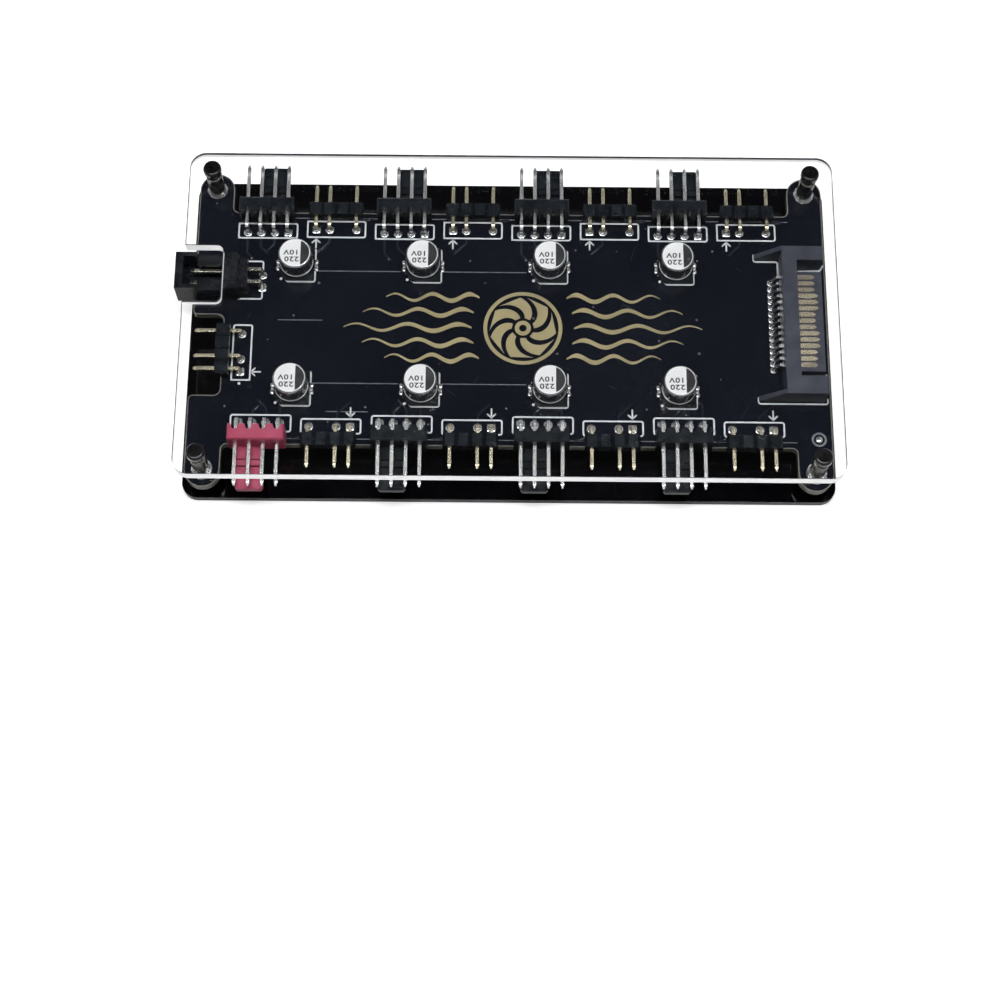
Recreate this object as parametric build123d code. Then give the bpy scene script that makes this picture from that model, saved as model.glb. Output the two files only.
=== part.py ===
"""PC fan controller hub: a populated board held on posts between a black base plate and a clear cover.

Millimetres, +Z up. The origin is the centre of the base plate's underside. +X runs along the rows of ports
towards the power inlet, and +Y towards the rear row of ports.
"""
import os

from build123d import *

os.makedirs("parts", exist_ok=True)

# Stack of plates, from the bottom up
base_thickness = 1.5
spacer_height = 3.0
board_thickness = 1.6
cover_thickness = 2.5
cover_clearance = 0.2

# Plates, beyond the board's outline
plate_overhang_x = 1.0
plate_overhang_y = 0.5
plate_corner = 3.0

# Board outline, with an ear for a post at each corner
ports_per_row = 8
port_gap = 2.84
row_shift = -0.65
board_end_margin = 7.5
board_body_depth = 47.4
ear_reach = 8.0
ear_radius = 3.3
ear_root_fillet = 1.0

# Posts and screws
screw_diameter = 2.0
screw_clearance = 0.1
thread_clearance = 0.02
screw_engagement = 2.2
standoff_diameter = 3.0
spacer_diameter = 4.0
post_edge_chamfer = 0.2
pan_head_diameter = 3.4
pan_head_height = 1.25
pan_head_round = 0.5
flat_head_diameter = 3.6
flat_head_rim = 0.15
recess_width = 0.45
recess_length = 1.7
recess_depth = 0.6

# Square pins that the ports share
pin_pitch = 2.54
pin_side = 0.64
pin_fit = 0.02
pin_hole_diameter = 1.02
pin_bend_radius = 0.6
pin_point = 0.6
pin_point_inset = 0.17
tail_projection = 1.2
solder_foot_radius = 0.8
solder_neck_radius = 0.6
solder_height = 0.8

# Fan ports, set out from the board's edge with outwards positive
fan_pin_count = 4
fan_end_wall = 0.07
fan_setback = 2.3
fan_block_depth = 3.1
fan_block_height = 5.0
fan_block_round = 0.25
fan_pin_height = 2.5
fan_tail_gap = 2.0
fan_pin_length = 7.8
fan_tongue_height = 1.15
fan_tongue_pitches = 2
fan_tongue_lead = 0.2
fan_rib_offset = 2.7
fan_rib_depth = 1.1
fan_rib_height = 0.2
fan_rib_groove_width = 0.27
fan_rib_groove_depth = 0.5
fan_tongue_corner = 0.4
fan_groove_mouth = 1.6
fan_groove_floor = 0.75
fan_groove_depth = 1.1

# Light ports and the light input, cut from pin strip with one pin left out
strip_pin_count = 4
strip_missing_index = 2
strip_side = 2.5
strip_groove = 0.42
strip_setback = 1.6
strip_pin_height = 1.5
strip_tail_gap = 2.0
strip_pin_length = 4.05

# Light input on the left edge, in a notch of the board
led_input_y = -5.5
led_notch_depth = 5.8
led_notch_back_margin = 2.7
led_notch_front_margin = 3.4
led_notch_corner = 1.2
led_notch_lip = 0.9

# Speed-signal input on the left edge, in a notch of the cover
pwm_input_y = 9.15
pwm_pin_count = 2
pwm_width = 7.4
pwm_height = 5.8
pwm_shoulder_height = 4.9
pwm_wall = 0.8
pwm_overhang = 3.1
pwm_bar_depth = 1.45
pwm_window_depth = 2.55
pwm_rail_length = 5.0
pwm_slot_width = 3.1
pwm_end_wall = 2.7
pwm_step_width = 6.0
pwm_step_depth = 1.7
pwm_step_height = 3.9
pwm_pin_height = 2.6
pwm_tail_gap = 2.45
pwm_pin_tip_depth = 2.6
input_notch_depth = 7.1
input_notch_back_gap = 0.2
input_notch_front_gap = 3.85
input_notch_corner = 1.2

# Power inlet on the right edge
inlet_y = 0.75
inlet_contact_count = 15
inlet_pitch = 1.27
inlet_contact_width = 0.92
inlet_contact_thickness = 0.22
inlet_contact_fit = 0.02
inlet_contact_length = 3.35
inlet_ground_extra = 0.55
inlet_ground_group = 3
inlet_tail_gap = 1.9
inlet_tail_width = 0.46
inlet_tail_run = 0.75
inlet_tail_rise = 0.5
inlet_tail_bend = 0.25
inlet_tip_length = 0.55
inlet_tail_hole = 0.7
inlet_setback = 1.1
inlet_arm_length = 4.8
inlet_wall_depth = 2.8
inlet_height = 4.4
inlet_tongue_margin = 0.6
inlet_tongue_height = 2.6
inlet_tongue_thickness = 1.3
inlet_back_slot = 1.6
inlet_back_arm = 2.9
inlet_front_slot = 1.5
inlet_front_arm = 3.6
inlet_wing_length = 4.7
inlet_wing_thickness = 0.9
inlet_wing_foot = 0.5

# Surface-mount capacitors in two rows, which start beside the speed-signal input's pins
capacitors_per_row = 4
capacitor_pitch = 23.85
capacitor_row_gap = 2.57
capacitor_row_y = 12.6
can_diameter = 6.3
can_height = 4.5
can_top_round = 0.45
can_bead_height = 1.0
can_bead_radius = 0.3
seat_side = 6.6
seat_height = 0.75
seat_chamfer = 1.3
lead_width = 0.65
lead_thickness = 0.15
lead_inset = 0.9
lead_projection = 0.55

# Levels and outlines that follow from the sizes above
capacitor_height = lead_thickness + seat_height + can_height
tallest_part = max(capacitor_height, pwm_height, fan_block_height, inlet_height)
standoff_height = tallest_part + cover_clearance
board_bottom = base_thickness + spacer_height
board_top = board_bottom + board_thickness
cover_bottom = board_top + standoff_height
cover_top = cover_bottom + cover_thickness
port_pitch = fan_pin_count * pin_pitch + port_gap
board_length = ports_per_row * port_pitch + 2 * board_end_margin
board_half_length = board_length / 2
board_half_depth = board_body_depth / 2
plate_length = board_length + 2 * plate_overhang_x
plate_width = board_body_depth + 2 * ear_reach + 2 * plate_overhang_y
post_x = board_half_length - ear_radius
post_y = board_half_depth + ear_reach - ear_radius
post_places = [Pos(sx * post_x, sy * post_y, 0) for sy in (1, -1) for sx in (-1, 1)]
screw_hole_radius = screw_diameter / 2 + screw_clearance
led_edge_x = led_notch_depth - board_half_length
tail_bottom = -board_thickness - tail_projection


def span(x, y, z):
    """A box between two values on each axis."""
    size = [high - low for low, high in (x, y, z)]
    middle = [(low + high) / 2 for low, high in (x, y, z)]
    return Pos(*middle) * Box(*size)


def centred(width):
    """The two ends of a width about zero."""
    return (-width / 2, width / 2)


def near(vertex, x, y):
    """Whether a vertex lies at x and y, on either side of the middle lines."""
    return abs(abs(vertex.X) - abs(x)) < 1e-4 and abs(abs(vertex.Y) - abs(y)) < 1e-4


def pin_offsets(count, pitch):
    """Places of a row of pins about its middle."""
    return [(i - (count - 1) / 2) * pitch for i in range(count)]


def bent_pin(width, thickness, root, height, tip, inset):
    """A pin that rises through the board at root, bends outwards at height and ends in a blunt point."""
    shaft_end = tip - pin_point
    path = FilletPolyline(
        (0, root, tail_bottom), (0, root, height), (0, shaft_end, height), radius=pin_bend_radius
    )
    section = Plane(origin=path @ 0, x_dir=(1, 0, 0), z_dir=path % 0) * Rectangle(width, thickness)
    shaft = sweep(section, path=path)
    inset_z = min(inset, thickness / 3)
    point = Wedge(width, pin_point, thickness, inset, inset_z, width - inset, thickness - inset_z)
    return shaft + Pos(0, shaft_end + pin_point / 2, height) * point


def solder_cone(width, thickness):
    """The fillet of solder round a pin's tail under the board."""
    cone = Cone(solder_neck_radius, solder_foot_radius, solder_height)
    cone -= Box(width + 2 * pin_fit, thickness + 2 * pin_fit, 2 * solder_height)
    return Pos(0, 0, -board_thickness - solder_height / 2) * cone


# Where each port meets the board's edge: outwards is the port's own +Y
def row_x(index):
    """The middle of one port of a row."""
    return row_shift + (index - (ports_per_row - 1) / 2) * port_pitch


rear_ports = [Pos(row_x(i), board_half_depth, board_top) for i in range(ports_per_row)]
front_ports = [Pos(row_x(i), -board_half_depth, board_top) * Rot(0, 0, 180) for i in range(ports_per_row)]
fan_places = rear_ports[0::2] + front_ports[0::2]
led_places = rear_ports[1::2] + front_ports[1::2]
led_input_place = Pos(led_edge_x, led_input_y, board_top) * Rot(0, 0, 90)
strip_places = led_places + [led_input_place]
pwm_input_place = Pos(-board_half_length, pwm_input_y, board_top) * Rot(0, 0, 90)
inlet_place = Pos(board_half_length, inlet_y, board_top) * Rot(0, 0, -90)

# Where the pins stand in each kind of port, and the roots of their tails
fan_pin_x = pin_offsets(fan_pin_count, pin_pitch)
strip_pin_x = pin_offsets(strip_pin_count, pin_pitch)
strip_fitted_x = [x for i, x in enumerate(strip_pin_x) if i != strip_missing_index]
pwm_pin_x = pin_offsets(pwm_pin_count, pin_pitch)
inlet_x = pin_offsets(inlet_contact_count, inlet_pitch)
fan_root = -fan_setback - fan_tail_gap
strip_root = -strip_setback - strip_tail_gap
pwm_rail_start = pwm_overhang - pwm_bar_depth - pwm_window_depth
pwm_cavity_end = pwm_rail_start - pwm_rail_length
pwm_block_end = pwm_cavity_end - pwm_end_wall
pwm_step_end = pwm_block_end - pwm_step_depth
pwm_root = pwm_step_end - pwm_tail_gap
inlet_wall_front = -inlet_setback - inlet_arm_length
inlet_wall_rear = inlet_wall_front - inlet_wall_depth
inlet_root = inlet_wall_rear - inlet_tail_gap

pin_tails = []
pin_tails += [place * Pos(x, fan_root, 0) for place in fan_places for x in fan_pin_x]
pin_tails += [place * Pos(x, strip_root, 0) for place in strip_places for x in strip_fitted_x]
pin_tails += [pwm_input_place * Pos(x, pwm_root, 0) for x in pwm_pin_x]
inlet_tails = [inlet_place * Pos(x, inlet_root, 0) for x in inlet_x]

nodes = {}


# Base plate: black sheet with countersunk holes for the screws from below
def base_plate():
    outline = RectangleRounded(plate_length, plate_width, plate_corner)
    plate = extrude(outline, amount=base_thickness)
    sink_radius = flat_head_diameter / 2 + screw_clearance
    sink_depth = sink_radius - screw_hole_radius
    bore = Cylinder(screw_hole_radius, base_thickness, align=(Align.CENTER, Align.CENTER, Align.MIN))
    rim = Cylinder(sink_radius, flat_head_rim, align=(Align.CENTER, Align.CENTER, Align.MIN))
    sink = Cone(sink_radius, screw_hole_radius, sink_depth, align=(Align.CENTER, Align.CENTER, Align.MIN))
    hole = bore + rim + Pos(0, 0, flat_head_rim) * sink
    return plate - [place * hole for place in post_places]


nodes["base_plate"] = base_plate()


# Spacers and standoffs: plain tubes that hold the board and the cover apart
def post(diameter, height, bore_radius):
    tube = Cylinder(diameter / 2, height, align=(Align.CENTER, Align.CENTER, Align.MIN))
    tube = chamfer(tube.edges(), post_edge_chamfer)
    return tube - Cylinder(bore_radius, 2 * height)


spacer = Pos(0, 0, base_thickness) * post(spacer_diameter, spacer_height, screw_hole_radius)
nodes["base_spacers"] = Compound(children=[place * spacer for place in post_places])
standoff_bore = screw_diameter / 2 + thread_clearance
standoff = Pos(0, 0, board_top) * post(standoff_diameter, standoff_height, standoff_bore)
nodes["cover_standoffs"] = Compound(children=[place * standoff for place in post_places])


# Screws: flat heads sunk in the base plate, pan heads on the cover, each with a cross recess
def cross_recess():
    bar = Box(recess_length, recess_width, 2 * recess_depth)
    return bar + Rot(0, 0, 90) * bar


def base_screw():
    low = (Align.CENTER, Align.CENTER, Align.MIN)
    head_radius = flat_head_diameter / 2
    cone_height = head_radius - screw_diameter / 2
    rim = Cylinder(head_radius, flat_head_rim, align=low)
    cone = Pos(0, 0, flat_head_rim) * Cone(head_radius, screw_diameter / 2, cone_height, align=low)
    shank = Cylinder(screw_diameter / 2, board_top + screw_engagement, align=low)
    return rim + cone + shank - cross_recess()


def cover_screw():
    head = Cylinder(pan_head_diameter / 2, pan_head_height, align=(Align.CENTER, Align.CENTER, Align.MIN))
    head = fillet(head.edges().group_by(Axis.Z)[-1], pan_head_round)
    shank_length = cover_thickness + screw_engagement
    shank = Cylinder(screw_diameter / 2, shank_length, align=(Align.CENTER, Align.CENTER, Align.MAX))
    return Pos(0, 0, cover_top) * (head + shank - Pos(0, 0, pan_head_height) * cross_recess())


nodes["base_screws"] = Compound(children=[place * base_screw() for place in post_places])
nodes["cover_screws"] = Compound(children=[place * cover_screw() for place in post_places])


# Circuit board: long notches front and rear between the ears, and a notch for the light input
def circuit_board():
    outline = Rectangle(board_length, board_body_depth)
    ear_inner_x = board_half_length - 2 * ear_radius
    for place in post_places:
        outline += place * Circle(ear_radius)
    outline += Rectangle(board_length, 2 * post_y) - Rectangle(2 * ear_inner_x, 2 * post_y)
    roots = [v for v in outline.vertices() if near(v, ear_inner_x, board_half_depth)]
    outline = fillet(roots, ear_root_fillet)
    strip_half = strip_pin_count * pin_pitch / 2
    notch_back = led_input_y + strip_half + led_notch_back_margin
    notch_front = led_input_y - strip_half - led_notch_front_margin
    notch_middle = Pos(-board_half_length, (notch_back + notch_front) / 2)
    outline -= notch_middle * Rectangle(2 * led_notch_depth, notch_back - notch_front)
    ends = (notch_back, notch_front)
    inner = [v for v in outline.vertices() if any(near(v, led_edge_x, y) for y in ends)]
    outline = fillet(inner, led_notch_corner)
    lips = [v for v in outline.vertices() if any(near(v, board_half_length, y) for y in ends)]
    outline = fillet(lips, led_notch_lip)
    outline -= [place * Circle(screw_hole_radius) for place in post_places]
    outline -= [Pos(tail.position.X, tail.position.Y) * Circle(pin_hole_diameter / 2) for tail in pin_tails]
    outline -= [Pos(tail.position.X, tail.position.Y) * Circle(inlet_tail_hole / 2) for tail in inlet_tails]
    return Pos(0, 0, board_bottom) * extrude(outline, amount=board_thickness)


nodes["circuit_board"] = circuit_board()


# Cover plate: clear sheet with a notch over the speed-signal input
def cover_plate():
    outline = RectangleRounded(plate_length, plate_width, plate_corner)
    notch_back = pwm_input_y + pwm_width / 2 + input_notch_back_gap
    notch_front = pwm_input_y - pwm_width / 2 - input_notch_front_gap
    notch_middle = Pos(-plate_length / 2, (notch_back + notch_front) / 2)
    outline -= notch_middle * Rectangle(2 * input_notch_depth, notch_back - notch_front)
    notch_x = input_notch_depth - plate_length / 2
    inner = [v for v in outline.vertices() if near(v, notch_x, notch_back) or near(v, notch_x, notch_front)]
    outline = fillet(inner, input_notch_corner)
    outline -= [place * Circle(screw_hole_radius) for place in post_places]
    return Pos(0, 0, cover_bottom) * extrude(outline, amount=cover_thickness)


nodes["cover_plate"] = cover_plate()


# Fan ports: a block that carries four pins, comb grooves behind it and a guide tongue below them
def fan_housing():
    width = fan_pin_count * pin_pitch + 2 * fan_end_wall
    front = fan_block_depth - fan_setback
    block = span(centred(width), (-fan_setback, front), (0, fan_block_height))
    block = chamfer(block.edges().group_by(Axis.Z)[-1], fan_block_round)
    tongue_end = front + fan_pin_length + fan_tongue_lead
    tongue_x = (fan_pin_x[-1] - fan_tongue_pitches * pin_pitch, fan_pin_x[-1])
    tongue = span(tongue_x, (0, tongue_end), (0, fan_tongue_height))
    tongue = chamfer(tongue.edges().filter_by(Axis.Z).group_by(Axis.Y)[-1], fan_tongue_corner)
    rib_start = front + fan_rib_offset
    rib_z = (0, fan_tongue_height + fan_rib_height)
    rib = span(tongue_x, (rib_start, rib_start + fan_rib_depth), rib_z)
    rib_end = rib_start + fan_rib_depth
    groove_z = (fan_tongue_height - fan_rib_groove_depth, fan_tongue_height + fan_rib_height)
    rib_back = span(tongue_x, (rib_start - fan_rib_groove_width, rib_start), groove_z)
    rib_front = span(tongue_x, (rib_end, rib_end + fan_rib_groove_width), groove_z)
    mouth_half = fan_groove_mouth / 2
    floor_half = fan_groove_floor / 2
    floor_y = fan_groove_depth - fan_setback
    mouth_corners = [(-mouth_half, -fan_setback), (mouth_half, -fan_setback)]
    floor_corners = [(floor_half, floor_y), (-floor_half, floor_y)]
    groove_face = make_face(Polyline(*mouth_corners, *floor_corners, close=True))
    groove = extrude(groove_face, amount=fan_block_height)
    hole_side = pin_side + 2 * pin_fit
    hole = Pos(0, 0, fan_pin_height) * Box(hole_side, 4 * fan_block_depth, hole_side)
    cuts = [Pos(x, 0, 0) * cut for x in fan_pin_x for cut in (groove, hole)]
    return block + tongue + rib - [rib_back, rib_front] - cuts


fan_tip = fan_block_depth - fan_setback + fan_pin_length
fan_shell = fan_housing()
fan_pin = bent_pin(pin_side, pin_side, fan_root, fan_pin_height, fan_tip, pin_point_inset)
for number, place in enumerate(fan_places, start=1):
    pins = [place * Pos(x, 0, 0) * fan_pin for x in fan_pin_x]
    nodes[f"fan_header_{number}_housing"] = place * fan_shell
    nodes[f"fan_header_{number}_pins"] = Compound(children=pins)


# Light ports and the light input: moulded strip with a groove between the pins
def strip_housing():
    rear = -strip_setback
    half = strip_side / 2
    cell_half = pin_pitch / 2
    flat_x = cell_half - strip_groove
    flat_z = half - strip_groove
    corners = [
        (flat_x, -half), (cell_half, -flat_z), (cell_half, flat_z), (flat_x, half),
        (-flat_x, half), (-cell_half, flat_z), (-cell_half, -flat_z), (-flat_x, -half),
    ]
    section = make_face(Polyline(*corners, close=True))
    cells = Sketch() + [Pos(x, 0) * section for x in strip_pin_x]
    hole_side = pin_side + 2 * pin_fit
    cells -= [Pos(x, 0) * Rectangle(hole_side, hole_side) for x in strip_fitted_x]
    plane = Plane(origin=(0, rear, strip_pin_height), x_dir=(1, 0, 0), z_dir=(0, -1, 0))
    return extrude(plane * cells, amount=-strip_side)


strip_tip = strip_side - strip_setback + strip_pin_length
strip_shell = strip_housing()
strip_pin = bent_pin(pin_side, pin_side, strip_root, strip_pin_height, strip_tip, pin_point_inset)
strip_names = [f"led_header_{number}" for number in range(1, len(led_places) + 1)] + ["led_input"]
for name, place in zip(strip_names, strip_places):
    pins = [place * Pos(x, 0, 0) * strip_pin for x in strip_fitted_x]
    nodes[f"{name}_housing"] = place * strip_shell
    nodes[f"{name}_pins"] = Compound(children=pins)


# Speed-signal input: a shrouded socket with a latch window behind the bar at its mouth
def pwm_housing():
    shroud = span(centred(pwm_width), (pwm_rail_start, pwm_overhang), (0, pwm_height))
    body = span(centred(pwm_width), (pwm_block_end, pwm_overhang), (0, pwm_shoulder_height))
    step = span(centred(pwm_step_width), (pwm_step_end, pwm_block_end), (0, pwm_step_height))
    inner = centred(pwm_width - 2 * pwm_wall)
    mouth = span(inner, (pwm_rail_start, pwm_overhang), (pwm_wall, pwm_height - pwm_wall))
    cavity = span(inner, (pwm_cavity_end, pwm_overhang), (pwm_wall, pwm_shoulder_height - pwm_wall))
    window = span(inner, (pwm_rail_start, pwm_overhang - pwm_bar_depth), (pwm_pin_height, pwm_height))
    slot = span(centred(pwm_slot_width), (pwm_cavity_end, pwm_rail_start), (pwm_pin_height, pwm_height))
    hole_side = pin_side + 2 * pin_fit
    hole = span(centred(hole_side), (pwm_step_end, pwm_cavity_end), (0, hole_side))
    holes = [Pos(x, 0, pwm_pin_height - hole_side / 2) * hole for x in pwm_pin_x]
    return shroud + body + step - [mouth, cavity, window, slot] - holes


pwm_tip = pwm_overhang - pwm_pin_tip_depth
pwm_pin = bent_pin(pin_side, pin_side, pwm_root, pwm_pin_height, pwm_tip, pin_point_inset)
nodes["pwm_input_housing"] = pwm_input_place * pwm_housing()
nodes["pwm_input_pins"] = Compound(children=[pwm_input_place * Pos(x, 0, 0) * pwm_pin for x in pwm_pin_x])

# Power inlet: a wall with two end arms, a contact tongue between them and a brace behind each end
inlet_tongue_half = inlet_contact_count * inlet_pitch / 2 + inlet_tongue_margin
inlet_contact_z = inlet_tongue_height + inlet_contact_thickness / 2


def inlet_housing():
    arm_y = (inlet_wall_front, -inlet_setback)
    back_arm_inner = -inlet_tongue_half - inlet_back_slot
    back_end = back_arm_inner - inlet_back_arm
    front_arm_inner = inlet_tongue_half + inlet_front_slot
    front_end = front_arm_inner + inlet_front_arm
    wall = span((back_end, front_end), (inlet_wall_rear, inlet_wall_front), (0, inlet_height))
    back_arm = span((back_end, back_arm_inner), arm_y, (0, inlet_height))
    front_arm = span((front_arm_inner, front_end), arm_y, (0, inlet_height))
    tongue_z = (inlet_tongue_height - inlet_tongue_thickness, inlet_tongue_height)
    tongue = span(centred(2 * inlet_tongue_half), arm_y, tongue_z)
    wing_end = inlet_wall_rear - inlet_wing_length
    wall_side = [(inlet_wall_rear, 0), (inlet_wall_rear, inlet_height)]
    foot_side = [(wing_end, inlet_wing_foot), (wing_end, 0)]
    wing_face = Plane.YZ * make_face(Polyline(*wall_side, *foot_side, close=True))
    back_wing = Pos(back_end, 0, 0) * extrude(wing_face, amount=inlet_wing_thickness)
    front_wing = Pos(front_end, 0, 0) * extrude(wing_face, amount=-inlet_wing_thickness)
    slot_x = inlet_contact_width + 2 * inlet_contact_fit
    slot_z = inlet_contact_thickness + 2 * inlet_contact_fit
    slot_low = inlet_contact_z - slot_z / 2
    slot = span(centred(slot_x), (inlet_wall_rear, inlet_wall_front), (slot_low, slot_low + slot_z))
    solid = wall + back_arm + front_arm + tongue + back_wing + front_wing
    return solid - [Pos(x, 0, 0) * slot for x in inlet_x]


def inlet_contact(index):
    """One contact: a pointed blade through the wall, with a narrow tail that slopes to the board."""
    is_ground = (index // inlet_ground_group) % 2 == 1
    length = inlet_contact_length + (inlet_ground_extra if is_ground else 0)
    tip = inlet_wall_front + length
    shoulder = tip - inlet_tip_length
    bend = inlet_wall_rear - inlet_tail_run
    half = inlet_contact_width / 2
    tail_half = inlet_tail_width / 2
    left_side = [(-tail_half, bend), (-half, inlet_wall_rear), (-half, shoulder), (-tail_half / 2, tip)]
    right_side = [(-x, y) for x, y in reversed(left_side)]
    blade = extrude(make_face(Polyline(*left_side, *right_side, close=True)), amount=inlet_contact_thickness)
    path = FilletPolyline(
        (0, inlet_root, tail_bottom), (0, inlet_root, inlet_tail_rise),
        (0, bend, inlet_contact_z), (0, inlet_wall_rear, inlet_contact_z), radius=inlet_tail_bend,
    )
    section = Plane(origin=path @ 0, x_dir=(1, 0, 0), z_dir=path % 0)
    tail = sweep(section * Rectangle(inlet_tail_width, inlet_contact_thickness), path=path)
    return Pos(0, 0, inlet_tongue_height) * blade + tail


contacts = [inlet_place * Pos(x, 0, 0) * inlet_contact(i) for i, x in enumerate(inlet_x)]
nodes["power_inlet_housing"] = inlet_place * inlet_housing()
nodes["power_inlet_contacts"] = Compound(children=contacts)


# Capacitors: an aluminium can on a plastic seat, with a flat lead out to each side
def can():
    body = Cylinder(can_diameter / 2, can_height, align=(Align.CENTER, Align.CENTER, Align.MIN))
    body = fillet(body.edges().group_by(Axis.Z)[-1], can_top_round)
    return body - Pos(0, 0, can_bead_height) * Torus(can_diameter / 2, can_bead_radius)


def capacitor_seat():
    outline = Rectangle(seat_side, seat_side)
    outline = chamfer(outline.vertices().group_by(Axis.X)[0], seat_chamfer)
    return extrude(outline, amount=seat_height)


def capacitor_lead():
    return span((lead_inset, seat_side / 2 + lead_projection), centred(lead_width), (0, lead_thickness))


pwm_tail_x = -board_half_length - pwm_root
first_capacitor_x = pwm_tail_x + capacitor_row_gap + lead_projection + seat_side / 2
capacitor_x = [first_capacitor_x + i * capacitor_pitch for i in range(capacitors_per_row)]
capacitor_places = [Pos(x, y, board_top) for y in (capacitor_row_y, -capacitor_row_y) for x in capacitor_x]
seat_lift = Pos(0, 0, lead_thickness)
can_lift = Pos(0, 0, lead_thickness + seat_height)
for number, place in enumerate(capacitor_places, start=1):
    nodes[f"capacitor_{number}_can"] = place * can_lift * can()
seats = [place * seat_lift * capacitor_seat() for place in capacitor_places]
nodes["capacitor_seats"] = Compound(children=seats)
lead_turns = (Rot(0, 0, 0), Rot(0, 0, 180))
leads = [place * turn * capacitor_lead() for place in capacitor_places for turn in lead_turns]
nodes["capacitor_leads"] = Compound(children=leads)

# Solder under the board, round the tail of every pin
joints = [tail * solder_cone(pin_side, pin_side) for tail in pin_tails]
nodes["solder_joints"] = Compound(children=joints)

for name, shape in nodes.items():
    export_step(shape, f"parts/{name}.step")
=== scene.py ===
import math

import bmesh
import bpy
from mathutils import Matrix, Vector


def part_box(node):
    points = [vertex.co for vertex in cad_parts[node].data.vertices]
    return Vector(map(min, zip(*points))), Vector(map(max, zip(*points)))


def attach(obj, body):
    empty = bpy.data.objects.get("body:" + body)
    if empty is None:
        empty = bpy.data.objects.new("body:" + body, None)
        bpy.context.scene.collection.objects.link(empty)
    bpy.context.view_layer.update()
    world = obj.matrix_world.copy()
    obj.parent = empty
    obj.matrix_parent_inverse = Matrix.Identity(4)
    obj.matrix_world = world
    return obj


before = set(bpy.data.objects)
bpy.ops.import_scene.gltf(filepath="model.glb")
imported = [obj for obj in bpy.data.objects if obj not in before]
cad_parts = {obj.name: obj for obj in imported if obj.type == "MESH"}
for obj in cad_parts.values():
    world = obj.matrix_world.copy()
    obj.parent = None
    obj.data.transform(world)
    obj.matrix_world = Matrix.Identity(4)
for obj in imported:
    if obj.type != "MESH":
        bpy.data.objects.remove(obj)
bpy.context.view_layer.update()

# Base plate: the black acrylic sheet under the whole hub, laser-cut to a rounded rectangle. It is
# glossy, with a painted grey sheen on its upright cut sides, and screws from below hold it to the spacers.
MM = 0.001
GRAIN_DEPTH = 0.02 * MM
DRIFT_RANGE = (0.32, 0.68)
UPRIGHT_BELOW, UPWARD_ABOVE = 0.5, 0.97


def tone(red, green, blue):
    """A colour written in 8-bit screen values, as the shader's linear colour."""
    linear = []
    for level in (red, green, blue):
        share = level / 255
        linear.append(share / 12.92 if share <= 0.04045 else ((share + 0.055) / 1.055) ** 2.4)
    return (*linear, 1.0)


def feed(tree, socket, source):
    """Joins an input to another node's output, or gives it a plain value."""
    if isinstance(source, bpy.types.NodeSocket):
        tree.links.new(source, socket)
    else:
        socket.default_value = source


def add_node(tree, kind, **values):
    """A new node: values in small letters are its settings, capitalised ones feed its inputs."""
    node = tree.nodes.new(kind)
    for label, value in values.items():
        if label.islower():
            setattr(node, label, value)
        else:
            feed(tree, node.inputs[label.replace("_", " ")], value)
    return node


def maths(tree, operation, *sources, kind="Math", output="Value"):
    """The result of a math node, or of a vector one, on sockets and plain values."""
    node = add_node(tree, "ShaderNode" + kind, operation=operation)
    for socket, source in zip(node.inputs, sources):
        feed(tree, socket, source)
    return node.outputs[output]


def map_range(tree, value, source=(0.0, 1.0), target=(0.0, 1.0)):
    """A value carried over from one range to another, held at both ends."""
    node = add_node(
        tree, "ShaderNodeMapRange", Value=value,
        From_Min=source[0], From_Max=source[1], To_Min=target[0], To_Max=target[1],
    )
    return node.outputs["Result"]


def blend(tree, share, one, two):
    """One colour faded over into another."""
    return add_node(tree, "ShaderNodeMix", data_type="RGBA", Factor=share, A=one, B=two).outputs["Result"]


def shader_group(name, inputs, outputs):
    """A new shader node group, with what it is given and what it puts out by name."""
    group = bpy.data.node_groups.new(name, "ShaderNodeTree")
    for label, kind in inputs.items():
        group.interface.new_socket(label, in_out="INPUT", socket_type="NodeSocket" + kind)
    for label, kind in outputs.items():
        group.interface.new_socket(label, in_out="OUTPUT", socket_type="NodeSocket" + kind)
    return group, group.nodes.new("NodeGroupInput").outputs, group.nodes.new("NodeGroupOutput").inputs


def own_place(tree):
    """The place on a piece, in its own coordinates."""
    return tree.nodes.new("ShaderNodeTexCoord").outputs["Object"]


def make_drift_group():
    """Colour, roughness and height that drift over a surface, with a fine grain in the height."""
    inputs = {"Colour": "Color", "Drift Colour": "Color", "Drift Scale": "Float", "Grain Scale": "Float"}
    inputs.update({"Rough Low": "Float", "Rough High": "Float", "Stretch": "Vector"})
    outputs = {"Colour": "Color", "Roughness": "Float", "Height": "Float"}
    group, given, result = shader_group("surface_drift", inputs, outputs)
    place = maths(group, "MULTIPLY", own_place(group), given["Stretch"], kind="VectorMath", output="Vector")
    drift = add_node(
        group, "ShaderNodeTexNoise", Vector=place, Scale=given["Drift Scale"], Detail=5.0, Roughness=0.62
    )
    grain = add_node(group, "ShaderNodeTexNoise", Vector=place, Scale=given["Grain Scale"], Detail=2.0)
    share = map_range(group, drift.outputs["Fac"], DRIFT_RANGE)
    rough = map_range(group, share, target=(given["Rough Low"], given["Rough High"]))
    feed(group, result["Colour"], blend(group, share, given["Colour"], given["Drift Colour"]))
    feed(group, result["Roughness"], rough)
    feed(group, result["Height"], grain.outputs["Fac"])
    return group


surface_drift = make_drift_group()


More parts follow.
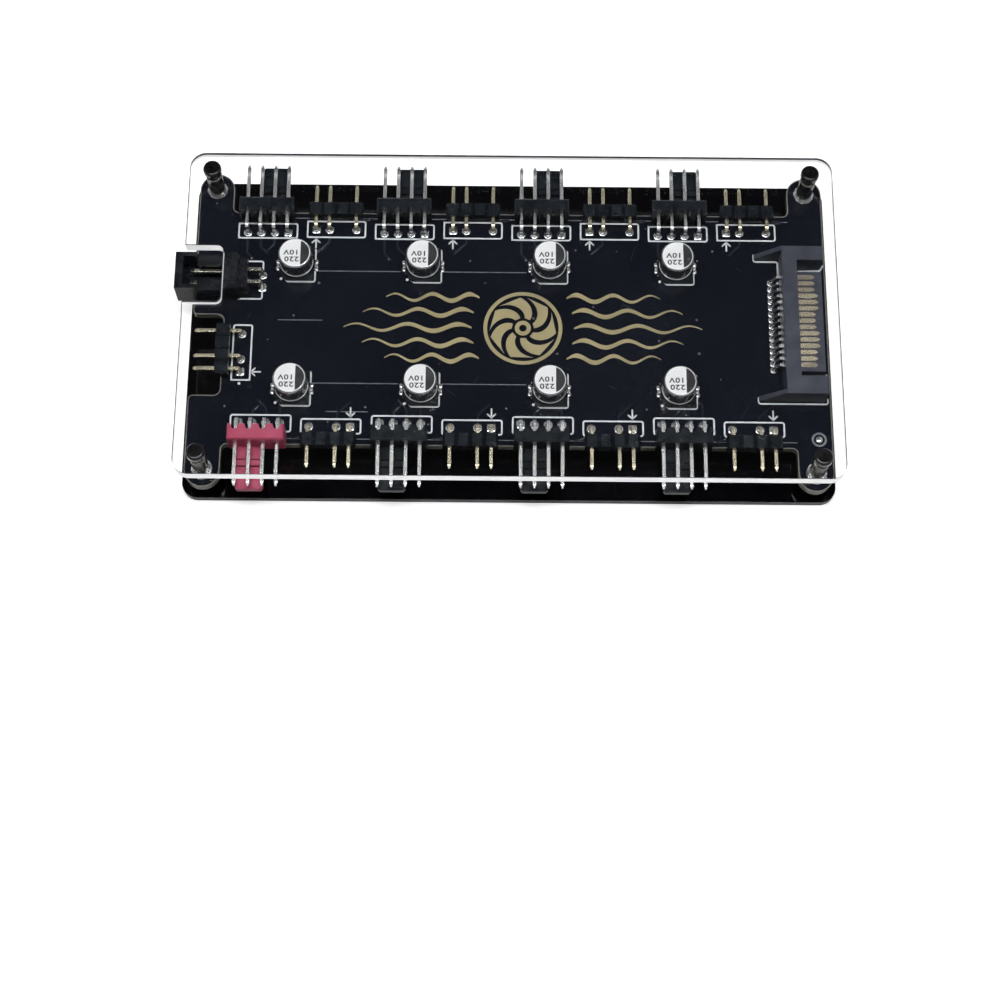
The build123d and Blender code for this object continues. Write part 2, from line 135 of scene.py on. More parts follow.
def finish(
    name, colour, drift_colour, rough,
    drift=90, grain=4000, bump=0.1, edge=0.0, stretch=(1, 1, 1), **fixed,
):
    """A material of one drifting colour: rough is its range, edge the rounding of sharp edges in mm."""
    material = bpy.data.materials.new(name)
    material.use_nodes = True
    tree = material.node_tree
    shader = tree.nodes["Principled BSDF"]
    group = add_node(
        tree, "ShaderNodeGroup", node_tree=surface_drift, Colour=colour, Drift_Colour=drift_colour,
        Drift_Scale=drift, Grain_Scale=grain, Rough_Low=rough[0], Rough_High=rough[1], Stretch=stretch,
    )
    relief = add_node(
        tree, "ShaderNodeBump", Strength=bump, Distance=GRAIN_DEPTH, Height=group.outputs["Height"]
    )
    if edge:
        rounding = add_node(tree, "ShaderNodeBevel", Radius=edge * MM)
        feed(tree, relief.inputs["Normal"], rounding.outputs["Normal"])
    feed(tree, shader.inputs["Base Color"], group.outputs["Colour"])
    feed(tree, shader.inputs["Roughness"], group.outputs["Roughness"])
    feed(tree, shader.inputs["Normal"], relief.outputs["Normal"])
    for label, value in fixed.items():
        shader.inputs[label.replace("_", " ")].default_value = value
    return material


def dress(material, *names):
    """Puts a material on carried-over solids."""
    for name in names:
        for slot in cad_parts[name].material_slots:
            slot.material = material


def make_facing_group():
    """Masks of the faces that stand upright and of those that look up."""
    group, _, result = shader_group("facing", {}, {"Upright": "Float", "Upward": "Float"})
    normal = group.nodes.new("ShaderNodeNewGeometry").outputs["True Normal"]
    rise = add_node(group, "ShaderNodeSeparateXYZ", Vector=normal).outputs["Z"]
    steep = maths(group, "ABSOLUTE", rise)
    feed(group, result["Upright"], maths(group, "LESS_THAN", steep, UPRIGHT_BELOW))
    feed(group, result["Upward"], maths(group, "GREATER_THAN", rise, UPWARD_ABOVE))
    return group


def place_group(material, group, **values):
    """A shared group in a material, with its own values."""
    return add_node(material.node_tree, "ShaderNodeGroup", node_tree=group, **values)


def lay_over(material, mask, colour, share=1.0):
    """Lays a colour over what a material shows where the mask is 1."""
    tree = material.node_tree
    base = tree.nodes["Principled BSDF"].inputs["Base Color"]
    below = base.links[0].from_socket
    feed(tree, base, blend(tree, maths(tree, "MULTIPLY", mask, share), below, colour))


facing = make_facing_group()
black_sheet = finish(
    "black_acrylic", tone(2, 2, 4), tone(6, 6, 9), (0.05, 0.1), edge=0.12, Specular_IOR_Level=0.25
)
# Painted sheen: the upright cut sides are painted grey.
lay_over(black_sheet, place_group(black_sheet, facing).outputs["Upright"], tone(74, 74, 76))
dress(black_sheet, "base_plate")

# Spacers and base screws: plain black nylon tubes between the base plate and the board, and black
# flat-head screws that go up through both into the posts. Only their sides and heads show.
nylon = finish("black_nylon", tone(20, 20, 22), tone(28, 28, 30), (0.42, 0.58), drift=260, edge=0.06)
black_steel = finish(
    "black_steel", tone(7, 7, 9), tone(17, 17, 19), (0.12, 0.22),
    drift=700, grain=9000, edge=0.08, Specular_IOR_Level=0.35,
)
dress(nylon, "base_spacers")
dress(black_steel, "base_screws")

# Circuit board: glass-fibre sheet with a blue-black solder mask on both faces. Its routed sides
# show the pale fibre, and tracks, specks of dust and faint rubs show in the mask.
board_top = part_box("circuit_board")[1].z
FIBRE = tone(112, 112, 104)
EMPTY_CELLS = 0.72
SCRATCH_SLANTS = (0.4, 2.1)
SCRATCH_PATCHES = 150
PATCH_RANGE = (0.58, 0.7)


def make_speck_group():
    """A mask of scattered specks: one in some cells of a random pattern, of uneven size."""
    group, given, result = shader_group("specks", {"Scale": "Float", "Size": "Float"}, {"Mask": "Float"})
    cells = add_node(group, "ShaderNodeTexVoronoi", Vector=own_place(group), Scale=given["Scale"])
    chance = add_node(group, "ShaderNodeSeparateColor", Color=cells.outputs["Color"]).outputs
    size = maths(group, "MULTIPLY", chance["Red"], given["Size"])
    near = maths(group, "LESS_THAN", cells.outputs["Distance"], size)
    rare = maths(group, "GREATER_THAN", chance["Green"], EMPTY_CELLS)
    feed(group, result["Mask"], maths(group, "MULTIPLY", near, rare))
    return group


def make_scratch_group():
    """A mask of fine bent scratches in two slants, broken up by a coarse noise."""
    group, given, result = shader_group("scratches", {"Scale": "Float", "Width": "Float"}, {"Mask": "Float"})
    place = own_place(group)
    level = maths(group, "SUBTRACT", 1.0, given["Width"])
    marks = []
    for slant in SCRATCH_SLANTS:
        turned = add_node(group, "ShaderNodeMapping", Vector=place, Rotation=(0, 0, slant))
        waves = add_node(
            group, "ShaderNodeTexWave", wave_profile="SAW", Vector=turned.outputs["Vector"],
            Scale=given["Scale"], Distortion=3.0, Detail=1.0,
        )
        marks.append(maths(group, "GREATER_THAN", waves.outputs["Fac"], level))
    patches = add_node(group, "ShaderNodeTexNoise", Vector=place, Scale=SCRATCH_PATCHES)
    broken = map_range(group, patches.outputs["Fac"], PATCH_RANGE)
    feed(group, result["Mask"], maths(group, "MULTIPLY", maths(group, "MAXIMUM", *marks), broken))
    return group


specks = make_speck_group()
scratches = make_scratch_group()
mask_black = finish(
    "board", tone(15, 18, 27), tone(20, 23, 32), (0.06, 0.11),
    drift=60, grain=2500, bump=0.04, Specular_IOR_Level=0.35,
)
dust = place_group(mask_black, specks, Scale=420, Size=0.14)
lay_over(mask_black, dust.outputs["Mask"], tone(120, 122, 126), share=0.5)
rubs = place_group(mask_black, scratches, Scale=20, Width=0.006)
lay_over(mask_black, rubs.outputs["Mask"], tone(96, 100, 108), share=0.35)
lay_over(mask_black, place_group(mask_black, facing).outputs["Upright"], FIBRE)
dress(mask_black, "circuit_board")

# Board rim: the margin along the board's outline where the mask stops short of the edge and the
# bare fibre shows as a thin pale line. It follows the outline of the board's top face.
RIM_WIDTH = 0.2 * MM
RIM_HEIGHT = 0.012 * MM


def add_piece(piece):
    """Lets a new piece ride on the hub's one body."""
    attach(piece, "root")


def as_object(name, shape):
    """A finished bmesh as an object that doesn't stand in the scene yet."""
    mesh = bpy.data.meshes.new(name)
    shape.to_mesh(mesh)
    shape.free()
    return bpy.data.objects.new(name, mesh)


def mesh_piece(name, shape, material):
    """A finished bmesh as a piece of its own in the scene."""
    piece = as_object(name, shape)
    piece.data.materials.append(material)
    bpy.context.scene.collection.objects.link(piece)
    return piece


def top_outline(node):
    """The top face of a plate as a merged bmesh, without its sides and underside."""
    shape = bmesh.new()
    shape.from_mesh(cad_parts[node].data)
    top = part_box(node)[1].z
    away = [f for f in shape.faces if any(abs(v.co.z - top) > 1e-6 for v in f.verts)]
    bmesh.ops.delete(shape, geom=away, context="FACES")
    bmesh.ops.remove_doubles(shape, verts=shape.verts, dist=1e-7)
    return shape


def boundary_loops(shape):
    """The closed rings of vertices round a flat sheet and its holes."""
    following = {}
    for edge in shape.edges:
        if edge.is_boundary:
            loop = edge.link_loops[0]
            following[loop.vert] = loop.link_loop_next.vert
    rings = []
    while following:
        start, vert = following.popitem()
        ring = [start]
        while vert is not start:
            ring.append(vert)
            vert = following.pop(vert)
        rings.append([v.co.copy() for v in ring])
    return rings


def ribbon(shape, left, right, low, high, closed=False):
    """A flat strip with thickness between two lines of points, closed on itself or with two ends."""
    count = len(left)
    rows = []
    for a, b in zip(left, right):
        corners = ((a, low), (b, low), (b, high), (a, high))
        rows.append([shape.verts.new((p[0], p[1], z)) for p, z in corners])
    for i in range(count if closed else count - 1):
        one, two = rows[i], rows[(i + 1) % count]
        for k in range(4):
            shape.faces.new((one[k], one[(k + 1) % 4], two[(k + 1) % 4], two[k]))
    if not closed:
        shape.faces.new(rows[0][::-1])
        shape.faces.new(rows[-1])


def inset_ring(ring, width):
    """A closed ring of points moved inwards by a width, along the mean of each corner's two normals."""
    moved = []
    for i, point in enumerate(ring):
        before = (point - ring[i - 1]).normalized()
        after = (ring[(i + 1) % len(ring)] - point).normalized()
        inward = Vector((-before.y - after.y, before.x + after.x, 0)).normalized()
        reach = width / max(0.5, inward.dot(Vector((-before.y, before.x, 0))))
        moved.append(point + inward * reach)
    return moved


def ring_length(ring):
    """The way round a closed ring of points."""
    return sum((ring[i] - ring[i - 1]).length for i in range(len(ring)))


def outer_ring(node):
    """The outline of a plate's top face."""
    shape = top_outline(node)
    ring = max(boundary_loops(shape), key=ring_length)
    shape.free()
    return ring


outline = outer_ring("circuit_board")
rim_shape = bmesh.new()
ribbon(rim_shape, outline, inset_ring(outline, RIM_WIDTH), board_top, board_top + RIM_HEIGHT, closed=True)
bmesh.ops.recalc_face_normals(rim_shape, faces=rim_shape.faces)
bare_fibre = finish("bare_fibre", FIBRE, tone(92, 92, 86), (0.5, 0.7), drift=900, stretch=(1, 1, 6))
rim = mesh_piece("board_rim", rim_shape, bare_fibre)
add_piece(rim)

# Tracks: copper lines under the mask, seen as faint raised strips that are a little paler than
# the board. They leave the ports' pins at right angles and bend by 45 degrees.
PIN_SIDE = 0.64 * MM
TRACK_WIDTH = 0.5 * MM
TRACK_HEIGHT = 0.035 * MM
TRACK_CORNER = 0.1 * MM
# Each fan track's pin as a share of the row's half width, its straight run and its sidestep, in mm.
FAN_ROUTES = ((-1, 4.2, 1.6), (-1 / 3, 3.0, 1.6), (1 / 3, 2.4, -1.2))
# A light port's tracks from their pins, in mm along the row and outwards.
EDGE_ROUTE = ((0, 0), (0, 0.6), (1.6, 2.2), (2.9, 2.2))
INNER_ROUTE = ((0, 0), (0, -2.6), (-2.2, -4.8), (-2.54, -4.8))
CORNER_STEPS = 5
END_SIDES = 14
REAR, FRONT, LEFT, RIGHT = Vector((0, 1)), Vector((0, -1)), Vector((-1, 0)), Vector((1, 0))


class Port:
    """The board side of one port: where its pins stand, and its own directions along and outwards."""

    def __init__(self, name, outward, pin_width=PIN_SIDE, pins="pins"):
        low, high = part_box(f"{name}_{pins}")
        self.outward = outward
        self.along = Vector((outward.y, -outward.x))
        centre = ((low + high) / 2).xy
        half = ((high - low) / 2).xy
        depth = abs(half.dot(outward))
        self.root = centre - outward * (depth - PIN_SIDE / 2)
        self.spread = abs(half.dot(self.along)) - pin_width / 2

    def at(self, along, outward):
        """A board place in this port's own millimetres, from the middle of its row of pins."""
        return self.root + self.along * along * MM + self.outward * outward * MM

    def pins(self, shares):
        """Board places of the pins, at these shares of the row's half width."""
        return [self.root + self.along * self.spread * share for share in shares]


rear_fans = [Port(f"fan_header_{n}", REAR) for n in range(1, 5)]
front_fans = [Port(f"fan_header_{n}", FRONT) for n in range(5, 9)]
rear_strips = [Port(f"led_header_{n}", REAR) for n in range(1, 5)]
front_strips = [Port(f"led_header_{n}", FRONT) for n in range(5, 9)]
led_input = Port("led_input", LEFT)
pwm_input = Port("pwm_input", LEFT)


def geometry_tree(name, inputs):
    """A new geometry node tree, with what it is given and what it puts out by name."""
    tree = bpy.data.node_groups.new(name, "GeometryNodeTree")
    for label, kind in {"Geometry": "Geometry", **inputs}.items():
        tree.interface.new_socket(label, in_out="INPUT", socket_type="NodeSocket" + kind)
    tree.interface.new_socket("Geometry", in_out="OUTPUT", socket_type="NodeSocketGeometry")
    return tree, tree.nodes.new("NodeGroupInput").outputs, tree.nodes.new("NodeGroupOutput").inputs


def end_tree(tree, geometry, material, result):
    """Ends a tree with real geometry in place of instances, in one material."""
    real = add_node(tree, "GeometryNodeRealizeInstances", Geometry=geometry)
    paint = add_node(
        tree, "GeometryNodeSetMaterial", Geometry=real.outputs["Geometry"], Material=material
    )
    feed(tree, result["Geometry"], paint.outputs["Geometry"])


def make_stroke_tree():
    """Turns lines into flat strokes of one width, with rounded corners and round ends."""
    inputs = {"Width": "Float", "Height": "Float", "Corner": "Float", "Material": "Material"}
    tree, given, result = geometry_tree("strokes", inputs)
    line = add_node(tree, "GeometryNodeMeshToCurve", Mesh=given["Geometry"]).outputs["Curve"]
    rounded = add_node(
        tree, "GeometryNodeFilletCurve", mode="POLY", Curve=line,
        Radius=given["Corner"], Count=CORNER_STEPS, Limit_Radius=True,
    )
    level = add_node(tree, "GeometryNodeSetCurveNormal", mode="Z_UP", Curve=rounded.outputs["Curve"])
    section = add_node(
        tree, "GeometryNodeCurvePrimitiveQuadrilateral", Width=given["Width"], Height=given["Height"]
    )
    band = add_node(
        tree, "GeometryNodeCurveToMesh", Curve=level.outputs["Curve"],
        Profile_Curve=section.outputs["Curve"], Fill_Caps=True,
    )
    end = add_node(
        tree, "GeometryNodeMeshCylinder", Vertices=END_SIDES,
        Radius=maths(tree, "MULTIPLY", given["Width"], 0.5), Depth=given["Height"],
    )
    at_ends = tree.nodes.new("GeometryNodeCurveEndpointSelection").outputs["Selection"]
    ends = add_node(
        tree, "GeometryNodeInstanceOnPoints", Points=line, Selection=at_ends, Instance=end.outputs["Mesh"]
    )
    join = add_node(tree, "GeometryNodeJoinGeometry", Geometry=band.outputs["Mesh"])
    feed(tree, join.inputs["Geometry"], ends.outputs["Instances"])
    end_tree(tree, join.outputs["Geometry"], given["Material"], result)
    return tree


def grown(name, seed, tree, **values):
    """A piece grown from a seed mesh by a geometry node tree, turned into a plain mesh."""
    piece = bpy.data.objects.new(name, seed)
    bpy.context.scene.collection.objects.link(piece)
    modifier = piece.modifiers.new("grow", "NODES")
    modifier.node_group = tree
    for item in tree.interface.items_tree:
        if item.in_out == "INPUT" and item.name in values:
            modifier[item.identifier] = values[item.name]
    evaluated = piece.evaluated_get(bpy.context.evaluated_depsgraph_get())
    mesh = bpy.data.meshes.new_from_object(evaluated)
    piece.modifiers.remove(modifier)
    piece.data = mesh
    mesh.name = name
    return piece


def wires(name, lines, level):
    """A seed mesh of open lines, and of closed ones whose last point repeats the first, at one level."""
    points, edges = [], []
    for line in lines:
        closed = (line[0] - line[-1]).length < 1e-9
        first = len(points)
        points += [(p.x, p.y, level) for p in (line[:-1] if closed else line)]
        last = len(points) - 1
        edges += [(i, i + 1) for i in range(first, last)]
        if closed:
            edges.append((last, first))
    mesh = bpy.data.meshes.new(name)
    mesh.from_pydata(points, edges, [])
    return mesh


strokes = make_stroke_tree()


def fan_tracks(port):
    """The tracks of one fan port: from three pins straight inwards, then aside by 45 degrees."""
    routes = []
    for share, run, aside in FAN_ROUTES:
        pin = port.spread / MM * share
        routes.append([port.at(pin, 0), port.at(pin, -run), port.at(pin + aside, -run - abs(aside))])
    return routes


def strip_tracks(port):
    """The tracks of one light port: from its last pin along the board's edge, from its second inwards."""
    last, second = port.spread / MM, -port.spread / MM / 3
    routes = ((last, EDGE_ROUTE), (second, INNER_ROUTE))
    return [[port.at(pin + along, outward) for along, outward in route] for pin, route in routes]


track_lines = []
for port in rear_fans + front_fans:
    track_lines += fan_tracks(port)
for port in rear_strips + front_strips:
    track_lines += strip_tracks(port)
track_mask = finish(
    "covered_copper", tone(20, 24, 33), tone(25, 29, 38), (0.14, 0.24),
    drift=200, grain=2500, bump=0.04, Specular_IOR_Level=0.35,
)
tracks = grown(
    "board_tracks", wires("track_lines", track_lines, board_top), strokes,
    Width=TRACK_WIDTH, Height=TRACK_HEIGHT, Corner=TRACK_CORNER, Material=track_mask,
)
add_piece(tracks)

# Board print: off-white screen ink that boxes in each port, with an arrow at the first light pin,
# brackets round the inputs and an outline with a dot for each capacitor.
INK_WIDTH = 0.31 * MM
INK_HEIGHT = 0.03 * MM
INK_CORNER = 0.4 * MM
# Each box's half length, inner line, outer line and shift along the row of pins, in mm.
REAR_FAN_BOX, FRONT_FAN_BOX = (5.55, -1.15, 1.9, 0.0), (5.55, -1.5, 1.75, -0.3)
REAR_STRIP_BOX, FRONT_STRIP_BOX = (5.5, -1.6, 1.75, 0.0), (5.5, -1.5, 1.35, -0.25)
LIGHT_INPUT_BOX = (5.55, -1.85, 1.6, 0.09)
HOOK = 0.75
ARROW_LENGTH, ARROW_HALF, ARROW_TIP = 1.75, 0.72, -2.0
# The side of each bracket at the speed-signal input, how far it stands off its pin, and its length.
SIGNAL_BRACKETS = ((1, 2.9, 3.0), (-1, 2.35, 4.5))
CAPACITOR_NAMES = [f"capacitor_{n}_can" for n in range(1, 9)]
capacitor_centres = [((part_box(name)[0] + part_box(name)[1]) / 2).xy for name in CAPACITOR_NAMES]


def closed_box(port, half, inner, outer, shift):
    """A printed rectangle round a port's pins."""
    corners = ((-half, inner), (half, inner), (half, outer), (-half, outer), (-half, inner))
    return [port.at(x + shift, y) for x, y in corners]


def open_box(port, half, inner, outer, shift):
    """A printed box that is open to the board's edge, with a short hook at each end."""
    corners = ((half - HOOK, outer), (half, outer), (half, inner))
    corners += ((-half, inner), (-half, outer), (HOOK - half, outer))
    return [port.at(x + shift, y) for x, y in corners]


def arrow(port, along, tip):
    """A printed arrow that points outwards at one pin."""
    shaft = [port.at(along, tip - ARROW_LENGTH), port.at(along, tip)]
    wings = [port.at(along + side * ARROW_HALF, tip - ARROW_HALF) for side in (-1, 1)]
    return [shaft, [wings[0], shaft[1], wings[1]]]


def capacitor_outline(centre):
    """The printed outline of a capacitor: two chamfered corners, with gaps for its pads."""
    half, gap, cut, short = 3.42, 1.3, 1.75, 0.2
    lower = ((half, -gap), (half, -half), (-cut, -half), (-half + short, -cut + short))
    upper = ((half, gap), (half, half), (-cut, half), (-half + short, cut - short))
    return [[centre + Vector(p) * MM for p in side] for side in (lower, upper)]


ink_lines = [closed_box(port, *REAR_FAN_BOX) for port in rear_fans]
ink_lines += [open_box(port, *FRONT_FAN_BOX) for port in front_fans]
ink_lines += [closed_box(port, *REAR_STRIP_BOX) for port in rear_strips]
ink_lines += [open_box(port, *FRONT_STRIP_BOX) for port in front_strips]
ink_lines.append(closed_box(led_input, *LIGHT_INPUT_BOX))
for port in rear_strips + front_strips + [led_input]:
    ink_lines += arrow(port, -port.spread / MM, ARROW_TIP)
for side, off, length in SIGNAL_BRACKETS:
    pin = side * pwm_input.spread / MM
    corner = pin + side * off
    ink_lines.append([pwm_input.at(pin, 0), pwm_input.at(corner, 0), pwm_input.at(corner, length)])
for centre in capacitor_centres:
    ink_lines += capacitor_outline(centre)
inlet_low, inlet_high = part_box("power_inlet_housing")
inlet_corner = Vector((inlet_low.x, inlet_high.y))
inlet_span = (inlet_high.y - inlet_low.y) / MM
inlet_marks = [
    [(0, 0.1), (0, -1.3), (4.5, -1.3), (4.5, -4.0)],
    [(8.3, -3.2), (12.5, -3.1), (13.1, -2.0)],
    [(12.8, -24.4), (12.8, -25.4)],
    [(0, 0.8 - inlet_span), (0, -0.4 - inlet_span), (12.8, -0.4 - inlet_span), (12.8, 0.6 - inlet_span)],
]
ink_lines += [[inlet_corner + Vector(p) * MM for p in line] for line in inlet_marks]
white_ink = finish(
    "white_ink", tone(236, 239, 241), tone(208, 212, 216), (0.5, 0.7), drift=1500, grain=9000, bump=0.2
)
print_piece = grown(
    "board_print", wires("ink_lines", ink_lines, board_top + TRACK_HEIGHT), strokes,
    Width=INK_WIDTH, Height=INK_HEIGHT, Corner=INK_CORNER, Material=white_ink,
)
add_piece(print_piece)

# Fine lines: thin printed rules between the capacitors and along the ports, and a few short ones.
# They are of the same ink, laid thinner, so they read as grey.
RULE_WIDTH = 0.2 * MM
RULE_HEIGHT = 0.02 * MM
RULE_INSET = 1.15 * MM
RULE_START, RULE_STOP = 3.8 * MM, 4.4 * MM
EDGE_RULE = 2.4
EDGE_RULE_ENDS = (5.2, 8.0)
# The two short rules' left end, right end and level on the board, in mm.
SHORT_RULES = ((-43.5, -35.3, 1.3), (-34.0, -26.2, -17.1))
rule_ends = []
for row in (capacitor_centres[:4], capacitor_centres[4:]):
    inner = row[0].y - math.copysign(RULE_INSET, row[0].y)
    for one, two in ((row[0], row[1]), (row[1], row[2])):
        rule_ends.append(((one.x + RULE_START, inner), (two.x - RULE_STOP, inner)))
for port in rear_strips + front_strips:
    edge = port.at(0, EDGE_RULE).y
    for side in (-1, 1):
        near, far = (port.root.x + side * reach * MM for reach in EDGE_RULE_ENDS)
        rule_ends.append(((near, edge), (far, edge)))
for left, right, level in SHORT_RULES:
    rule_ends.append(((left * MM, level * MM), (right * MM, level * MM)))
thin_ink = finish("thin_ink", tone(108, 112, 117), tone(86, 90, 96), (0.45, 0.65), drift=900, grain=9000)
rules = grown(
    "board_rules", wires("rule_lines", [[Vector(a), Vector(b)] for a, b in rule_ends], board_top), strokes,
    Width=RULE_WIDTH, Height=RULE_HEIGHT, Corner=0.0, Material=thin_ink,
)
add_piece(rules)

# Gold design: a plain ornament in bare gold plate at the middle of the board, a ring of fan blades
# with streams of air to both sides. It is the copper layer left free of mask, so it lies almost flush.
GOLD_HEIGHT = 0.03 * MM
ROSETTE = Vector((2.4, 0.0)) * MM
ROSETTE_RADIUS = 7.4
RING_WIDTH = 0.7
EYE_RADII = (1.5, 0.7)
BLADES = 7
BLADE_ROOT = 2.1
BLADE_LENGTH = ROSETTE_RADIUS - 3.2
BLADE_CURL = 1.4
BLADE_ANGLE, BLADE_SWEEPS = 0.5, (0.75, 0.95)
STREAM_PITCH = 3.1
STREAM_WIDTH = 0.95
STREAM_SWING = 0.7
STREAM_WAVES = 2.5
STREAM_START, START_STEP = 9.6, 0.35
STREAM_LENGTH, LENGTH_STEP = 24, 3.2


def arc_points(centre, radius, count, start=0.0, sweep=math.tau):
    """Points along an arc; a full turn leaves out the last one."""
    steps = count if sweep == math.tau else count - 1
    turns = [start + sweep * i / steps for i in range(count)]
    return [centre + Vector((math.cos(a), math.sin(a))) * radius * MM for a in turns]


def blade_edge(start, sweep, count=14):
    """One edge of a fan blade: it curls as it leaves the hub for the ring."""
    points = []
    for i in range(count):
        share = i / (count - 1)
        angle = start + sweep * share ** BLADE_CURL
        radius = BLADE_ROOT + BLADE_LENGTH * share
        points.append(ROSETTE + Vector((math.cos(angle), math.sin(angle))) * radius * MM)
    return points


def stream(shape, start, end, level, bottom, top):
    """A stream of air: a wavy band that thins out towards its far end."""
    count = 48
    upper, lower = [], []
    for i in range(count):
        share = i / (count - 1)
        x = start + (end - start) * share
        middle = level + STREAM_SWING * math.sin(STREAM_WAVES * math.tau * share)
        half = 0.5 * STREAM_WIDTH * (1 - 0.8 * share ** 2) * min(1, 0.35 + 6 * share)
        upper.append(Vector((x, middle + half)) * MM)
        lower.append(Vector((x, middle - half)) * MM)
    ribbon(shape, upper, lower, bottom, top)


gold_shape = bmesh.new()
gold_levels = (board_top, board_top + GOLD_HEIGHT)
for outer, inner in ((ROSETTE_RADIUS, ROSETTE_RADIUS - RING_WIDTH), EYE_RADII):
    rings = [arc_points(ROSETTE, radius, 96) for radius in (outer, inner)]
    ribbon(gold_shape, *rings, *gold_levels, closed=True)
for blade in range(BLADES):
    turn = math.tau * blade / BLADES
    edges = [blade_edge(start, sweep) for start, sweep in zip((turn, turn + BLADE_ANGLE), BLADE_SWEEPS)]
    ribbon(gold_shape, *edges, *gold_levels)
for row in (-2, -1, 0, 1, 2):
    near = STREAM_START - START_STEP * row ** 2
    far = near + STREAM_LENGTH - LENGTH_STEP * abs(row)
    for side in (-1, 1):
        start, end = (ROSETTE.x / MM + side * reach for reach in (near, far))
        stream(gold_shape, start, end, row * STREAM_PITCH, *gold_levels)
bmesh.ops.recalc_face_normals(gold_shape, faces=gold_shape.faces)
bare_gold = finish(
    "bare_gold", tone(172, 160, 118), tone(142, 132, 98), (0.28, 0.38),
    drift=55, grain=3000, bump=0.15, Metallic=0.35,
)
gold_design = mesh_piece("board_gold_design", gold_shape, bare_gold)
add_piece(gold_design)

# Soldered pads: the tinned ring round each pin on the board's top, square at the first pin. Solder
# has wicked up each pin into a small cone. The capacitors' pads lie half under their seats.
FAN_SHARES = (-1, -1 / 3, 1 / 3, 1)
STRIP_SHARES = (-1, -1 / 3, 1)
PAD_HALF = 0.83
SQUARE_HALF = PAD_HALF * 0.95
PAD_SIDES = 32
# Each ring of a mound as its share of the pad's half width and its height in mm.
PAD_PROFILE = (
    (1.0, 0.0), (1.0, 0.03), (0.94, 0.05), (0.78, 0.07), (0.66, 0.14), (0.57, 0.3), (0.5, 0.34), (0.36, 0.3)
)
MOUND = ((1.0, 0.0), (1.0, 0.03), (0.93, 0.07), (0.8, 0.11), (0.6, 0.14), (0.3, 0.15))
CONTACT_WIDTH = 0.92 * MM
CONTACTS = 15
LEAD_PAD_X, LEAD_PAD_Y = 3.6 * MM, 0.72 * MM


def solder_pad(name, half_x, half_y, corner, profile):
    """A mound of solder on a pad: rings of a rounded box that turn round towards the middle."""
    shape = bmesh.new()
    rings = []
    for step, (share, height) in enumerate(profile):
        power = 2 + (corner - 2) * max(0.0, 1 - step / 4)
        ring = []
        for i in range(PAD_SIDES):
            angle = math.tau * (i + 0.5) / PAD_SIDES
            c, s = math.cos(angle), math.sin(angle)
            reach = (abs(c) ** power + abs(s) ** power) ** (-1 / power)
            x, y = half_x * share * reach * c, half_y * share * reach * s
            ring.append(shape.verts.new((x * MM, y * MM, height * MM)))
        rings.append(ring)
    for one, two in zip(rings, rings[1:]):
        for i in range(PAD_SIDES):
            k = (i + 1) % PAD_SIDES
            face = shape.faces.new((one[i], one[k], two[k], two[i]))
            face.smooth = True
    shape.faces.new(rings[-1])
    shape.faces.new(rings[0][::-1])
    return as_object(name, shape)


def make_repeat_tree():
    """Stands one part on every point, as real geometry in one material."""
    inputs = {"Part": "Object", "Scale": "Float", "Material": "Material"}
    tree, given, result = geometry_tree("repeats", inputs)
    part = add_node(tree, "GeometryNodeObjectInfo", Object=given["Part"])
    stand = add_node(
        tree, "GeometryNodeInstanceOnPoints", Points=given["Geometry"],
        Instance=part.outputs["Geometry"], Scale=given["Scale"],
    )
    end_tree(tree, stand.outputs["Instances"], given["Material"], result)
    return tree


repeats = make_repeat_tree()


def stand_on(name, part, places, level, material, scale=1.0):
    """One part repeated on board places, as one piece."""
    seed = bpy.data.meshes.new(name + "_places")
    seed.from_pydata([(p[0], p[1], level) for p in places], [], [])
    return grown(name, seed, repeats, Part=part, Scale=scale, Material=material)


round_places, square_places = [], []
for port in rear_fans + front_fans:
    round_places += port.pins(FAN_SHARES[:3])
    square_places += port.pins(FAN_SHARES[3:])
for port in rear_strips + front_strips + [led_input]:
    square_places += port.pins(STRIP_SHARES[:1])
    round_places += port.pins(STRIP_SHARES[1:])
square_places += pwm_input.pins((-1,))
round_places += pwm_input.pins((1,))
tinned = finish(
    "solder", tone(216, 217, 218), tone(176, 178, 180), (0.14, 0.3),
    drift=900, grain=5000, bump=0.2, Metallic=0.95,
)
round_pad = solder_pad("round_pad", PAD_HALF, PAD_HALF, 2, PAD_PROFILE)
square_pad = solder_pad("square_pad", SQUARE_HALF, SQUARE_HALF, 9, PAD_PROFILE)
add_piece(stand_on("board_round_pads", round_pad, round_places, board_top, tinned))
add_piece(stand_on("board_square_pads", square_pad, square_places, board_top, tinned))
inlet = Port("power_inlet", RIGHT, pin_width=CONTACT_WIDTH, pins="contacts")
inlet_tails = inlet.pins([2 * n / (CONTACTS - 1) - 1 for n in range(CONTACTS)])
add_piece(stand_on("inlet_pads", round_pad, inlet_tails, board_top, tinned, scale=0.76))
lead_pad = solder_pad("lead_pad", 0.42, 0.46, 3, MOUND)
corners = [Vector((x, y)) for x in (-LEAD_PAD_X, LEAD_PAD_X) for y in (-LEAD_PAD_Y, LEAD_PAD_Y)]
lead_pad_places = [centre + corner for centre in capacitor_centres for corner in corners]
add_piece(stand_on("capacitor_pads", lead_pad, lead_pad_places, board_top, tinned))

